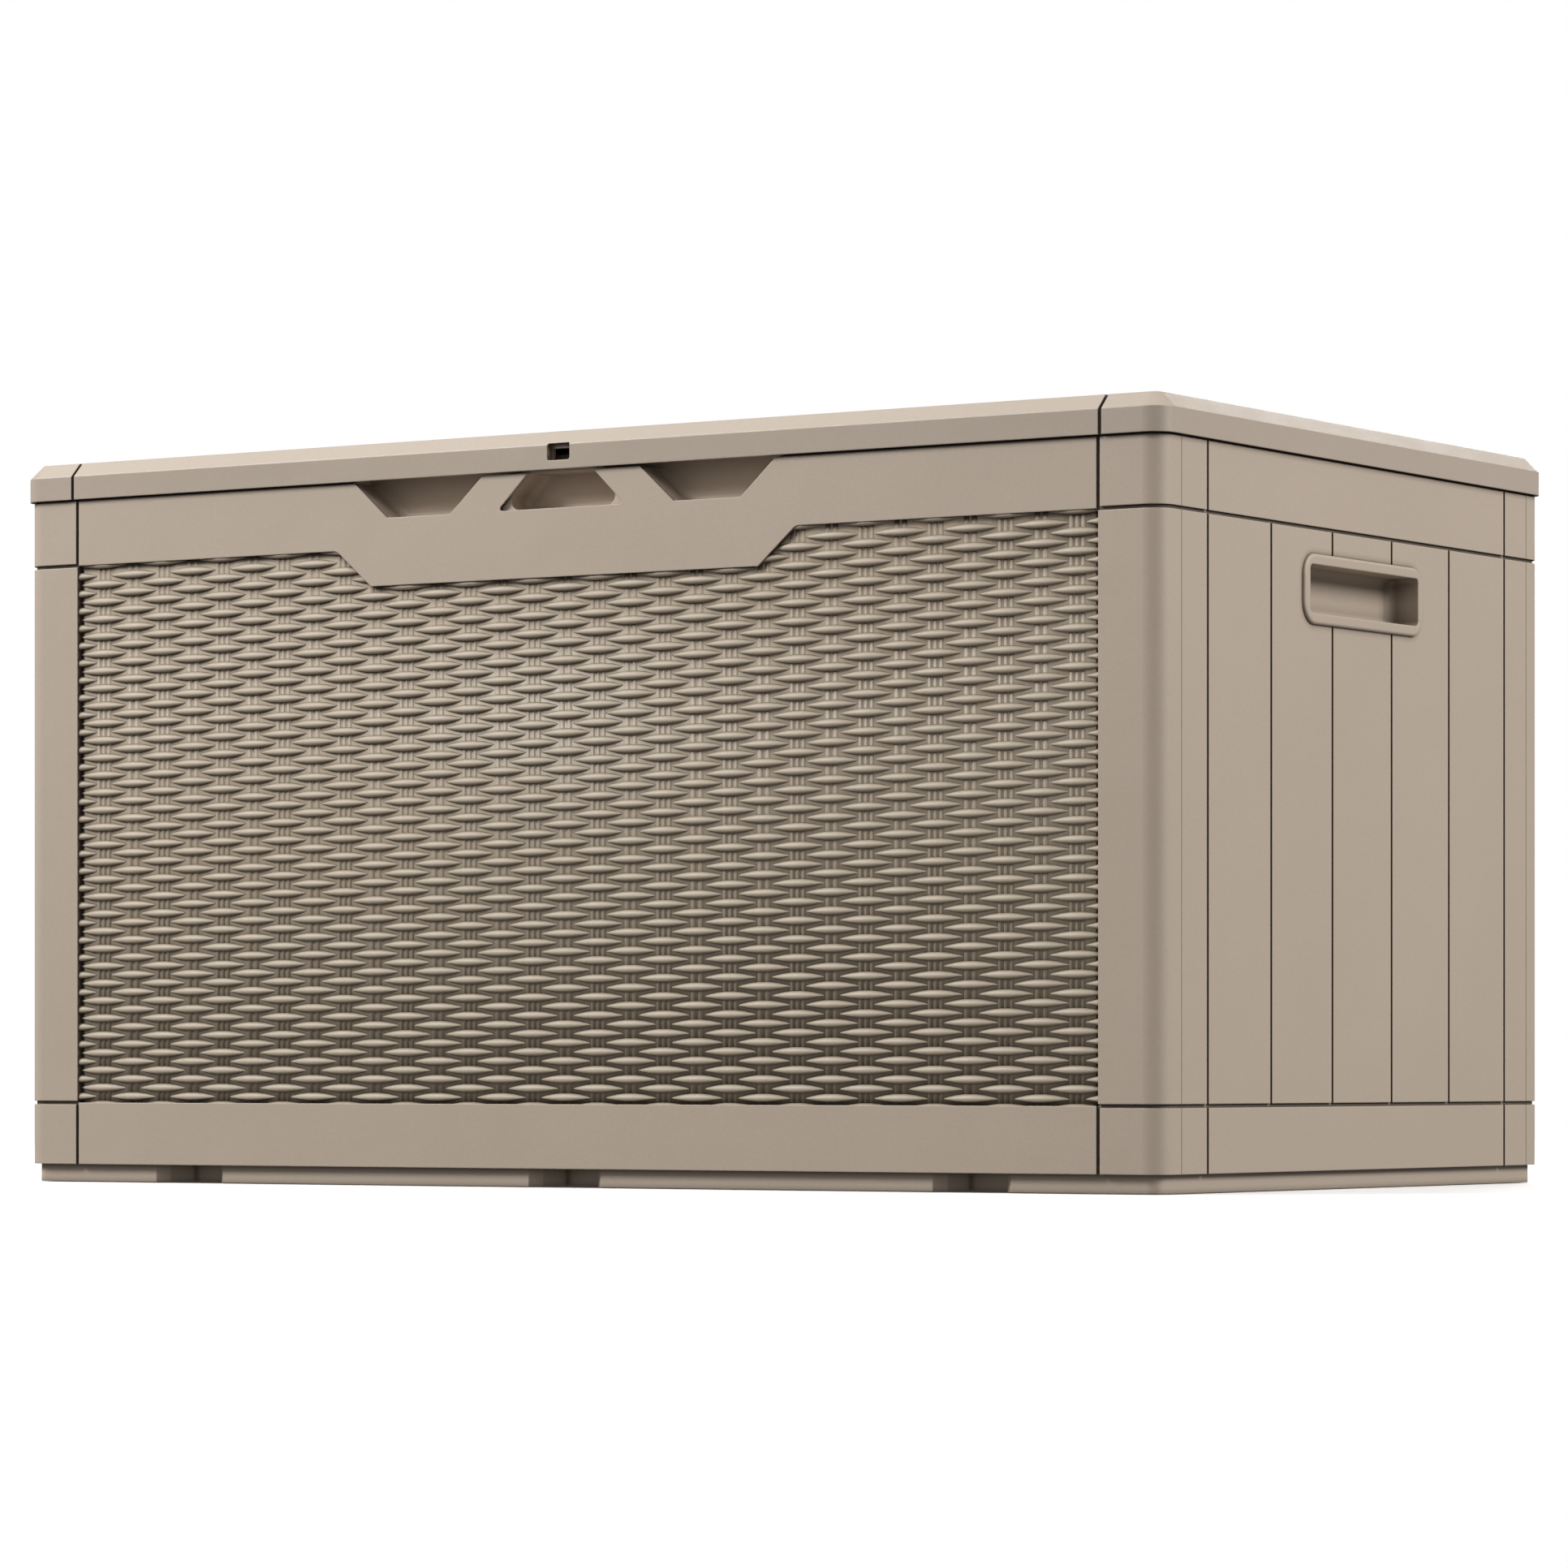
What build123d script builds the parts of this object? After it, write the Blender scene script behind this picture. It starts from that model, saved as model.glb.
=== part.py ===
from build123d import *

import os
from math import cos, hypot, pi, sin

# Deck storage box: a resin box with a woven-look front and back, planked ends and a hinged lid.
# X runs along the length, -Y is the front, +Z is up. The origin is on the ground, below the middle
# of the whole box, its hinge lugs included. All sizes are in millimetres.

# ---------------------------------------------------------------- driving sizes
body_length = 1130.0
body_depth = 660.0
overall_height = 620.0
corner_radius = 17.5

skin = 4.0                  # wall of every moulded panel
rib = 3.0                   # stiffening ribs
panel_depth = 14.0          # outer face to the edges of the ribs
rib_pitch = 113.0
embed = 0.5                 # how far a rib or lug runs into the wall that carries it
sliver = 1.0                # cutters run this far past the faces that they open
fit = 0.05                  # radial clearance of screws, pins and rivets
slip = 0.3                  # clearance of panels and cups in their seats

plinth_height = 15.0
plinth_inset = 6.0
upstand_height = 35.0       # base wall that the panels stand round
bottom_band = 53.0
top_band = 57.0
corner_strip = 57.0
corner_return = 30.0        # how far the front and back panels wrap round the corners
seam = 0.6                  # between an end panel and the corner returns
groove_width = 3.0
groove_depth = 2.2

lid_height = 32.0
lid_overhang = 3.0
lid_gap = 1.5
lid_bevel = 12.0
lid_corner_radius = 19.0
lid_rib_height = 10.0
lid_rib_margin = 60.0       # clear border between the lid's lip and its ribs
lid_planks = 6

rim_inset = 6.0             # rain rim that stands up inside the lid
rim_wall = 3.0
rim_height = 15.5

field_recess = 7.0          # woven field below the bands
grip_plate_drop = 31.0      # handle plate hangs this far below the top band
grip_plate_top = 458.0
grip_plate_bottom = 386.0
grip_plate_fillets = (10.0, 25.0)    # at its top and at its bottom corners
grip_height = 31.5
grip_depth = 28.0
grip_cavity_corner = 8.0    # lower corners of the troughs
grip_cavity_fillet = 6.0    # and their rear edges
liner_wall = 2.5
side_grip_centre = 144.0
side_grip_widths = (135.0, 65.0)     # at the top and at the bottom
middle_grip_widths = (62.0, 127.0)

liner_flange = 12.0         # below the grips
liner_screw_step = 6.0      # screws above and below the grip floor
tongue_wall = 4.0
tongue_width = 60.0
tongue_foot = 10.0          # the tongue's roof is this much wider on each side
tongue_screw_rise = 9.0
tongue_corner = 5.0
padlock_hole = (22.3, 14.0)
padlock_rise = 14.2         # hole centre above the lid's lower edge
bumper_stem = 2.0           # radius of the stem that is pressed into the lid
bumper_stem_length = 3.0
bumper_station = 260.0
bumper_corner = 60.0        # end of the box to the bumpers beside its corners

plank_edge = 72.0           # corner to the first plank groove
handle_height = 482.0
handle_opening = (188.0, 39.0)
handle_border = 9.0
handle_proud = 3.0
handle_depth = 25.0
handle_corner = 18.0
handle_cavity_corner = 4.0
handle_cavity_fillet = 7.0
cup_corner = 6.0
cup_rib_gap = 6.0           # ribs stop short of the cup
snap_tab = (5.0, 20.0, 2.5) # length, width and height of the cup's snap tabs
snap_tab_offset = 60.0

hinge_reach = 10.0          # hinge axis behind the back panel
hinge_drop = 8.0            # and below the lid's lower edge
knuckle_radius = 7.0
pin_radius = 3.0
pin_head = (1.5, 2.0)       # rim beyond the pin, and thickness
lid_lug_width = 30.0
body_lug_width = 12.0
lug_web = (6.0, 24.0)       # the body lug's web starts this far above and below the axis
lug_gap = 0.5
hinge_stations = (-420.0, -170.0, 170.0, 420.0)

lid_opening = 78.0          # degrees
stay_width = 14.0
stay_thickness = 3.0
slot_clearance = 0.4
track_setback = 131.0       # front face to the front end of the track
track_rear_setback = 42.7   # and back face to its rear end
track_depth = 8.0
track_wall = 2.0
track_half_height = 10.0
track_end = 20.0
track_screw_inset = 7.0
track_pad = 9.0             # half the width of the pads behind the track's ends
track_boss = 5.0            # half the width of the solid ends of the track
arm_gap = 1.0               # between the track, the arm and the bracket
bracket_half_width = 22.0
bracket_flange = 26.0
bracket_screw = (16.0, 14.0)
bracket_ear = (12.0, 8.0)   # half its width, and how far it goes below the pivot
rivet_head = (1.5, 1.2)     # rim beyond the pin, and thickness
fitting_screw_bite = 6.0    # screws of the lid's fittings and the track go this far past their foot

brace_width = 25.0
brace_height = 12.0
brace_wall = 1.5
brace_end_gap = 85.0        # end of the box to the end of a brace
brace_offset = 150.0
saddle_inset = 90.0         # end of a brace to its outer saddles
saddle_length = 24.0
saddle_pad = 20.0
saddle_wall = 2.0
saddle_ear = 14.0

screw_radius = 2.0
screw_head_radius = 4.2
screw_head = 2.2
screw_slot = (4.6, 1.0, 1.2)         # cross recess: length, width and depth
base_end_shares = (-2 / 3, -0.23, 0.23, 2 / 3)           # of half the depth
base_front_shares = (-0.85, -0.51, -0.17, 0.17, 0.51, 0.85)  # of half the length
corner_shares = (0.07, 0.36, 0.64, 0.93)                 # of the flange's height
notch_offset = 390.0
notch_mouth = 72.0
notch_width = 55.0
notch_flare = 9.0
notch_depth = 44.0

# ---------------------------------------------------------------- places worked out from them
half_length = body_length / 2
front_y = (lid_overhang - body_depth - hinge_reach - knuckle_radius) / 2
back_y = front_y + body_depth
mid_y = (front_y + back_y) / 2
lid_bottom = overall_height - lid_height
body_top = lid_bottom - lid_gap
rim_top = body_top + rim_height
band_low = plinth_height + bottom_band
band_high = lid_bottom - top_band
upstand_top = plinth_height + upstand_height
upstand_inset = skin + slip
field_half = half_length - corner_strip
grip_floor = lid_bottom - grip_height
side_grip_edge = side_grip_centre + side_grip_widths[0] / 2 + liner_wall
inner_x = half_length - panel_depth
hinge_y = back_y + hinge_reach
hinge_z = lid_bottom - hinge_drop
lid_skin_bottom = overall_height - skin
lid_rib_bottom = lid_skin_bottom - lid_rib_height
flange_top = body_top - 3 * skin
# A bumper stands on the middle of the rim and just clears the lid's sloping wall.
bumper_radius = rim_inset + rim_wall / 2 + lid_overhang - skin - (lid_bevel - lid_rib_height) - 2 * fit
grips = (
    (-side_grip_centre, side_grip_widths),
    (0.0, middle_grip_widths),
    (side_grip_centre, side_grip_widths),
)

# The stay's pivot and slider make an isosceles triangle with the hinge axis, so the slider runs in a
# straight slot through that axis while the arm turns back by twice the lid's angle. The pivot stands as
# far above the hinge axis as brings the slider to the rear end of the slot when the lid is open.
track_front = front_y + track_setback
track_back = back_y - track_rear_setback
slider_y = track_front + track_end
slider_open_y = track_back - track_end
opening = lid_opening * pi / 180
stay_rise = ((hinge_y - slider_y) * cos(opening) - (hinge_y - slider_open_y)) / (2 * sin(opening))
pivot_y = (hinge_y + slider_y) / 2
pivot_z = hinge_z + stay_rise
stay_reach = hypot(hinge_y - pivot_y, stay_rise)
web_x = inner_x - track_depth
arm_x = web_x - arm_gap - stay_thickness
ear_x = arm_x - arm_gap - stay_thickness

brace_length = body_length - 2 * brace_end_gap
saddle_station = brace_length / 2 - saddle_inset

os.makedirs("parts", exist_ok=True)


def save(name, part):
    """Names a finished piece and writes its file."""
    part.label = name
    export_step(part, f"parts/{name}.step")


def block(x, y, z, mode=Mode.ADD):
    """Plain block between the two ends given for each axis."""
    with Locations((x[0], y[0], z[0])):
        Box(x[1] - x[0], y[1] - y[0], z[1] - z[0], align=(Align.MIN,) * 3, mode=mode)


def ring(outer, inner, low, high):
    """Rounded ring round the body between two insets from its outer faces."""
    with BuildPart() as piece:
        with BuildSketch(Plane(origin=(0, mid_y, low))):
            for inset, mode in ((outer, Mode.ADD), (inner, Mode.SUBTRACT)):
                RectangleRounded(
                    body_length - 2 * inset,
                    body_depth - 2 * inset,
                    max(corner_radius - inset, 1),
                    mode=mode,
                )
        extrude(amount=high - low)
    return piece.part


def screw(seat, reach):
    """Cross-head screw whose head sits on a plane and whose shank goes in behind it."""
    with BuildPart() as piece:
        with BuildSketch(seat):
            Circle(screw_head_radius)
        extrude(amount=screw_head)
        fillet(piece.edges().filter_by(GeomType.CIRCLE).sort_by(Axis(seat.origin, seat.z_dir))[-1], 1)
        with BuildSketch(seat.offset(screw_head)):
            Rectangle(screw_slot[0], screw_slot[1])
            Rectangle(screw_slot[1], screw_slot[0])
        extrude(amount=-screw_slot[2], mode=Mode.SUBTRACT)
        with BuildSketch(seat):
            Circle(screw_radius)
        extrude(amount=-reach)
    return piece.part


def screw_group(name, seats, reach):
    """All screws of one kind, as one node."""
    with BuildPart() as group:
        for seat in seats:
            add(screw(seat, reach))
    save(name, group.part)


def screw_holes(seats, reach):
    """Holes for those screws in the piece being made."""
    with Locations(*seats):
        Cylinder(
            screw_radius + fit,
            reach + slip,
            align=(Align.CENTER, Align.CENTER, Align.MAX),
            mode=Mode.SUBTRACT,
        )


def facing(x, y, z, direction):
    """Plane at a point, looking along a direction."""
    return Plane(origin=(x, y, z), z_dir=direction)


def both_sides(seats):
    """The same planes again on the other end of the box."""
    return seats + [
        facing(-s.origin.X, s.origin.Y, s.origin.Z, (-s.z_dir.X, s.z_dir.Y, s.z_dir.Z)) for s in seats
    ]


def rib_places(span):
    """Evenly pitched rib places that fit within a half span."""
    count = int(span / rib_pitch)
    return [step * rib_pitch for step in range(-count, count + 1)]


# Where the screws sit: each plane is the seat of a screw's head.
base_screw_z = plinth_height + upstand_height / 2
lap = upstand_inset + rib
lap_screw_reach = rib + slip + skin - 1
base_end_seats = both_sides(
    [
        facing(half_length - lap, mid_y + share * body_depth / 2, base_screw_z, (-1, 0, 0))
        for share in base_end_shares
    ]
)
base_front_seats = [
    facing(share * half_length, front_y + lap, base_screw_z, (0, 1, 0)) for share in base_front_shares
]
base_back_seats = [
    facing(share * half_length, back_y - lap, base_screw_z, (0, -1, 0)) for share in base_front_shares
]

corner_levels = [upstand_top + (flange_top - upstand_top) * share for share in corner_shares]
corner_screw_inset = (corner_radius + corner_return) / 2
corner_front_seats = both_sides(
    [facing(half_length - lap, front_y + corner_screw_inset, z, (-1, 0, 0)) for z in corner_levels]
)
corner_back_seats = both_sides(
    [facing(half_length - lap, back_y - corner_screw_inset, z, (-1, 0, 0)) for z in corner_levels]
)

liner_screw_y = front_y + skin + rib
liner_screw_reach = rib + skin - 1.5
bridge_x = (side_grip_centre - side_grip_widths[1] / 2 + middle_grip_widths[1] / 2) / 2
liner_seats = [
    facing(sign * x, liner_screw_y, grip_floor + rise, (0, 1, 0))
    for sign in (-1, 1)
    for x, rise in ((bridge_x, liner_screw_step), (side_grip_edge - liner_flange, -liner_screw_step))
]
tongue_seat_y = front_y + grip_depth - tongue_wall
tongue_seats = [
    facing(x, tongue_seat_y, body_top + tongue_screw_rise, (0, -1, 0))
    for x in (-tongue_width / 2, tongue_width / 2)
]

track_seats = both_sides(
    [
        facing(web_x, y, hinge_z, (-1, 0, 0))
        for y in (track_front + track_screw_inset, track_back - track_screw_inset)
    ]
)
bracket_seat_z = lid_rib_bottom - stay_thickness
bracket_seats = both_sides(
    [
        facing(ear_x - bracket_screw[0], pivot_y + side * bracket_screw[1], bracket_seat_z, (0, 0, -1))
        for side in (-1, 1)
    ]
)
saddle_seat_z = lid_rib_bottom - saddle_wall
saddle_ear_y = brace_width / 2 + slip + saddle_wall + saddle_ear / 2
saddle_seats = [
    facing(x, mid_y + side * brace_offset + ear * saddle_ear_y, saddle_seat_z, (0, 0, -1))
    for side in (-1, 1)
    for x in (-saddle_station, 0, saddle_station)
    for ear in (-1, 1)
]

# ---------------------------------------------------------------- base
# Floor with a wall that the panels stand round, on a ribbed plinth set in from the panels. The plinth
# has three flared notches in the front and three in the back.
with BuildPart() as base_panel:
    with BuildSketch(Plane(origin=(0, mid_y, plinth_height))):
        RectangleRounded(
            body_length - 2 * upstand_inset, body_depth - 2 * upstand_inset, corner_radius - upstand_inset
        )
    extrude(amount=skin)
    add(ring(upstand_inset, lap, plinth_height, upstand_top))
    add(ring(plinth_inset, plinth_inset + rib, 0, plinth_height + embed))
    for x in rib_places(half_length - plinth_inset - rib_pitch / 3):
        block(
            (x - rib / 2, x + rib / 2),
            (front_y + plinth_inset + 1, back_y - plinth_inset - 1),
            (0, plinth_height + embed),
        )
    for y in rib_places(body_depth / 2 - plinth_inset - rib_pitch / 3):
        block(
            (-half_length + plinth_inset + 1, half_length - plinth_inset - 1),
            (mid_y + y - rib / 2, mid_y + y + rib / 2),
            (0, plinth_height + embed),
        )
    for x in (-notch_offset, 0, notch_offset):
        for face_y, inward in ((front_y + plinth_inset, 1), (back_y - plinth_inset, -1)):
            wall_y = sorted((face_y, face_y + inward * (notch_depth + rib)))
            half_wall = notch_mouth / 2 + rib
            block((x - half_wall, x + half_wall), wall_y, (0, plinth_height + embed))
            with BuildSketch(Plane.XY):
                with BuildLine():
                    Polyline(
                        (x - notch_mouth / 2, face_y - inward),
                        (x - notch_mouth / 2, face_y),
                        (x - notch_width / 2, face_y + inward * notch_flare),
                        (x - notch_width / 2, face_y + inward * notch_depth),
                        (x + notch_width / 2, face_y + inward * notch_depth),
                        (x + notch_width / 2, face_y + inward * notch_flare),
                        (x + notch_mouth / 2, face_y),
                        (x + notch_mouth / 2, face_y - inward),
                        close=True,
                    )
                make_face()
            extrude(amount=plinth_height, mode=Mode.SUBTRACT)
    screw_holes(base_end_seats + base_front_seats + base_back_seats, lap_screw_reach)
save("base_panel", base_panel.part)

# ---------------------------------------------------------------- body shell shared by the four panels
# Skin, shelf and rain rim in one ring; each panel is a cut of it.
with BuildPart() as body_shell:
    add(ring(0, skin, plinth_height, body_top))
    add(ring(0, rim_inset + rim_wall, body_top - skin, body_top))
    add(ring(rim_inset, rim_inset + rim_wall, body_top - skin, rim_top))

# The two level grooves run all round the ends and the corners, and stop at the woven fields.
with BuildPart() as level_grooves:
    for level in (band_low, band_high):
        add(ring(-sliver, groove_depth, level - groove_width / 2, level + groove_width / 2))
    block(
        (-field_half, field_half),
        (front_y - 2 * sliver, back_y + 2 * sliver),
        (0, overall_height),
        mode=Mode.SUBTRACT,
    )


def woven_field(plate, grow=0.0):
    """Outline of the woven field, or of its backing when grown, with the handle plate left standing."""
    with BuildSketch() as outline:
        with BuildLine():
            points = [(-field_half, band_high), (-field_half, band_low), (field_half, band_low)]
            points.append((field_half, band_high))
            if plate:
                plate_low = band_high - grip_plate_drop
                points += [(grip_plate_top / 2, band_high), (grip_plate_bottom / 2, plate_low)]
                points += [(-grip_plate_bottom / 2, plate_low), (-grip_plate_top / 2, band_high)]
            Polyline(*points, close=True)
        make_face()
        if plate:
            corners = vertices().filter_by(lambda v: abs(v.X) < field_half - 1)
            fillet(corners.filter_by(lambda v: v.Y > band_high - 1), grip_plate_fillets[0])
            fillet(corners.filter_by(lambda v: v.Y < band_high - 1), grip_plate_fillets[1])
        if grow:
            offset(amount=grow)
    return outline.sketch


def wrapped_panel(face_y, inward, plate):
    """Front or back panel: the face with its two corner returns, the woven field and the ribs."""
    plane = Plane.XZ.offset(-face_y)
    with BuildPart() as panel:
        add(body_shell.part)
        block(
            (-half_length - 1, half_length + 1),
            sorted((face_y - inward, face_y + inward * corner_return)),
            (0, overall_height),
            mode=Mode.INTERSECT,
        )
        with BuildSketch(plane):
            add(woven_field(plate, skin))
        extrude(amount=-inward * (field_recess + skin))
        rib_y = sorted((face_y + inward * (skin - embed), face_y + inward * panel_depth))
        for x in rib_places(field_half):
            block((x - rib / 2, x + rib / 2), rib_y, (upstand_top, band_high + skin))
        for share in (0, 1 / 3, 2 / 3, 1):
            level = upstand_top + share * (band_high + skin - rib - upstand_top)
            block((-half_length + 20, half_length - 20), rib_y, (level, level + rib))
        with BuildSketch(plane):
            add(woven_field(plate))
        extrude(amount=-inward * field_recess, mode=Mode.SUBTRACT)
        add(level_grooves.part, mode=Mode.SUBTRACT)
        for x in (-field_half, field_half):
            for low, high in ((0, band_low), (band_high, overall_height)):
                block(
                    (x - groove_width / 2, x + groove_width / 2),
                    sorted((face_y, face_y + inward * groove_depth)),
                    (low, high),
                    mode=Mode.SUBTRACT,
                )
    return panel.part


def grip_outline(centre, widths, grow=0.0, corner=2.0):
    """Trapezoid of one finger grip, open at the top."""
    top, bottom = (width / 2 + grow for width in widths)
    with BuildSketch() as outline:
        with BuildLine():
            Polyline(
                (centre - top, lid_bottom),
                (centre - bottom, grip_floor - grow),
                (centre + bottom, grip_floor - grow),
                (centre + top, lid_bottom),
                close=True,
            )
        make_face()
        fillet(vertices().filter_by(lambda v: v.Y < lid_bottom - 1), corner)
    return outline.sketch


# ---------------------------------------------------------------- front panel
# The rim and shelf stop short of the finger grips, which the liner closes from behind.
with BuildPart() as front_panel:
    add(wrapped_panel(front_y, 1, True))
    block(
        (-side_grip_edge, side_grip_edge),
        (front_y + skin, front_y + corner_return + 1),
        (body_top - skin - 1, rim_top + 1),
        mode=Mode.SUBTRACT,
    )
    for centre, widths in grips:
        with BuildSketch(Plane.XZ.offset(-front_y)):
            add(grip_outline(centre, widths))
        extrude(amount=-skin, mode=Mode.SUBTRACT)
    screw_holes(base_front_seats + corner_front_seats, lap_screw_reach)
    screw_holes(liner_seats, liner_screw_reach)
save("front_panel", front_panel.part)

# ---------------------------------------------------------------- finger grip liner
# Three troughs behind the grips on one flange, with a back wall that carries on the rain rim.
with BuildPart() as grip_cavities:
    for centre, widths in grips:
        with BuildSketch(Plane.XZ.offset(-front_y)):
            add(grip_outline(centre, widths, corner=grip_cavity_corner))
        extrude(amount=-grip_depth)
    rear_edges = grip_cavities.faces().filter_by(Axis.Y).group_by(Axis.Y)[-1].edges()
    fillet(rear_edges.filter_by(lambda e: e.center().Z < lid_bottom - 1), grip_cavity_fillet)

with BuildPart() as grip_liner:
    back = front_y + grip_depth
    flange_z = (grip_floor - liner_flange, body_top)
    block((-side_grip_edge, side_grip_edge), (front_y + skin, liner_screw_y), flange_z)
    block((-side_grip_edge, side_grip_edge), (back, back + liner_wall), (grip_floor - liner_wall, rim_top))
    for sign in (-1, 1):
        cheek_x = sorted((sign * (side_grip_edge - liner_wall), sign * side_grip_edge))
        block(cheek_x, (front_y + rim_inset, back + liner_wall), (body_top - skin, rim_top))
    for centre, widths in grips:
        with BuildSketch(Plane.XZ.offset(-front_y - skin)):
            add(grip_outline(centre, widths, liner_wall))
        extrude(amount=-(grip_depth + liner_wall - skin))
    block(
        (-side_grip_edge + liner_wall, side_grip_edge - liner_wall),
        (front_y + skin - 1, back),
        (body_top, lid_bottom + 1),
        mode=Mode.SUBTRACT,
    )
    add(grip_cavities.part, mode=Mode.SUBTRACT)
    screw_holes(liner_seats, liner_screw_reach)
    screw_holes(tongue_seats, tongue_wall + liner_wall)
save("grip_liner", grip_liner.part)
screw_group("liner_screws", liner_seats, liner_screw_reach)

# ---------------------------------------------------------------- lock tongue
# Roof over the middle grip, a rear leg screwed to the liner and a front tongue behind the lid's lip.
tongue_y = (liner_screw_y, liner_screw_y + tongue_wall)
tongue_top = lid_skin_bottom - lid_bevel - skin + lid_overhang + (tongue_y[0] - front_y) - slip
hole_low = lid_bottom + padlock_rise - padlock_hole[1] / 2
with BuildPart() as lock_tongue:
    roof = (-tongue_width / 2 - tongue_foot, tongue_width / 2 + tongue_foot)
    block(roof, (front_y + skin, front_y + grip_depth), (body_top, body_top + tongue_wall))
    block(roof, (tongue_seat_y, front_y + grip_depth), (body_top, rim_top))
    block((-tongue_width / 2, tongue_width / 2), tongue_y, (body_top, tongue_top))
    fillet(lock_tongue.edges().filter_by(Axis.Y).group_by(Axis.Z)[-1], tongue_corner)
    block(
        (-padlock_hole[0] / 2 - sliver, padlock_hole[0] / 2 + sliver),
        tongue_y,
        (hole_low, tongue_top - tongue_wall),
        mode=Mode.SUBTRACT,
    )
    screw_holes(tongue_seats, tongue_wall + liner_wall)
save("lock_tongue", lock_tongue.part)
screw_group("tongue_screws", tongue_seats, tongue_wall + liner_wall)

# ---------------------------------------------------------------- back panel
# Like the front without grips, with two hinge lugs at each station.
with BuildPart() as back_panel:
    add(wrapped_panel(back_y, -1, False))
    for station in hinge_stations:
        for side in (-1, 1):
            inner_end = station + side * (lid_lug_width / 2 + lug_gap)
            with BuildSketch(Plane.YZ.offset(inner_end)):
                with Locations((hinge_y, hinge_z)):
                    Circle(knuckle_radius)
                with BuildLine():
                    Polyline(
                        (back_y - embed, hinge_z + lug_web[0]),
                        (hinge_y - 2, hinge_z + lug_web[0]),
                        (hinge_y + 4, hinge_z - 5),
                        (back_y - embed, hinge_z - lug_web[1]),
                        close=True,
                    )
                make_face()
                with Locations((hinge_y, hinge_z)):
                    Circle(pin_radius + fit, mode=Mode.SUBTRACT)
            extrude(amount=side * body_lug_width)
    screw_holes(base_back_seats + corner_back_seats, lap_screw_reach)
save("back_panel", back_panel.part)

# Hinge pins: a plain steel pin with a flat head at one end for each station.
pin_half = lid_lug_width / 2 + lug_gap + body_lug_width
for number, station in enumerate(hinge_stations, 1):
    with BuildPart() as hinge_pin:
        with BuildSketch(Plane.YZ.offset(station - pin_half)):
            with Locations((hinge_y, hinge_z)):
                Circle(pin_radius)
        extrude(amount=2 * pin_half + sliver)
        with BuildSketch(Plane.YZ.offset(station - pin_half)):
            with Locations((hinge_y, hinge_z)):
                Circle(pin_radius + pin_head[0])
        extrude(amount=-pin_head[1])
        chamfer(hinge_pin.edges().filter_by(GeomType.CIRCLE).sort_by(Axis.X)[-1], pin_head[1] / 4)
    save(f"hinge_pin_{number}", hinge_pin.part)

# ---------------------------------------------------------------- end panels
# Planked skin between the corner returns, lap flanges behind them, ribs, and pads for the stay track.
plank_count = 5
plank_pitch = (body_depth - 2 * plank_edge) / plank_count
cup_outer = tuple(size + 2 * liner_wall for size in handle_opening)
end_y = (front_y + corner_return + seam, back_y - corner_return - seam)

with BuildPart() as end_ribs:
    rib_x = (inner_x, half_length - skin + embed)
    for y in rib_places(body_depth / 2 - corner_return - rib_pitch / 3):
        block(rib_x, (mid_y + y - rib / 2, mid_y + y + rib / 2), (upstand_top, flange_top))
    for share in (0, 1 / 4, 1 / 2, 3 / 4, 1):
        level = upstand_top + share * (flange_top - rib - upstand_top)
        block(rib_x, end_y, (level, level + rib))
    for y in (end_y[0], end_y[1] - rib):
        block((inner_x, half_length), (y, y + rib), (upstand_top, flange_top))
    for face_y, rib_edge, inward in ((front_y, end_y[0] + rib, 1), (back_y, end_y[1] - rib, -1)):
        block(
            (half_length - lap, half_length - upstand_inset),
            sorted((face_y + inward * (corner_radius + slip), rib_edge)),
            (upstand_top, flange_top),
        )
    with BuildSketch(Plane.YZ.offset(inner_x - sliver)):
        with Locations((mid_y, handle_height)):
            RectangleRounded(*(size + 2 * cup_rib_gap for size in cup_outer), cup_corner + 2)
    extrude(amount=panel_depth + 2 * sliver, mode=Mode.SUBTRACT)
    for seat in track_seats[:2]:
        y = seat.origin.Y
        block(rib_x, (y - track_pad, y + track_pad), (hinge_z - track_pad, body_top - embed))

with BuildPart() as right_panel:
    add(body_shell.part)
    block((0, half_length + 1), end_y, (0, overall_height), mode=Mode.INTERSECT)
    add(end_ribs.part)
    add(level_grooves.part, mode=Mode.SUBTRACT)
    for step in range(plank_count + 1):
        y = front_y + plank_edge + step * plank_pitch
        outermost = step in (0, plank_count)
        block(
            (half_length - groove_depth, half_length),
            (y - groove_width / 2, y + groove_width / 2),
            (0, overall_height) if outermost else (band_low, band_high),
            mode=Mode.SUBTRACT,
        )
    with BuildSketch(Plane.YZ.offset(half_length)):
        with Locations((mid_y, handle_height)):
            RectangleRounded(*(size + 2 * slip for size in cup_outer), cup_corner)
    extrude(amount=-panel_depth, mode=Mode.SUBTRACT)
    screw_holes(base_end_seats[:4], lap_screw_reach)
    screw_holes(corner_front_seats[:4] + corner_back_seats[:4], lap_screw_reach)
    screw_holes(track_seats[:2], track_depth + fitting_screw_bite)
save("right_panel", right_panel.part)
save("left_panel", mirror(right_panel.part, about=Plane.YZ))
screw_group("corner_screws", corner_front_seats + corner_back_seats, lap_screw_reach)
screw_group("base_screws", base_end_seats + base_front_seats + base_back_seats, lap_screw_reach)

# ---------------------------------------------------------------- handle cups
# Blind pocket with a raised rounded border, pushed in from outside and held by four snap tabs.
with BuildPart() as handle_cavity:
    with BuildSketch(Plane.YZ.offset(half_length + handle_proud)):
        with Locations((mid_y, handle_height)):
            RectangleRounded(*handle_opening, handle_cavity_corner)
    extrude(amount=-handle_proud - handle_depth)
    fillet(handle_cavity.faces().sort_by(Axis.X)[0].edges(), handle_cavity_fillet)

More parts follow.
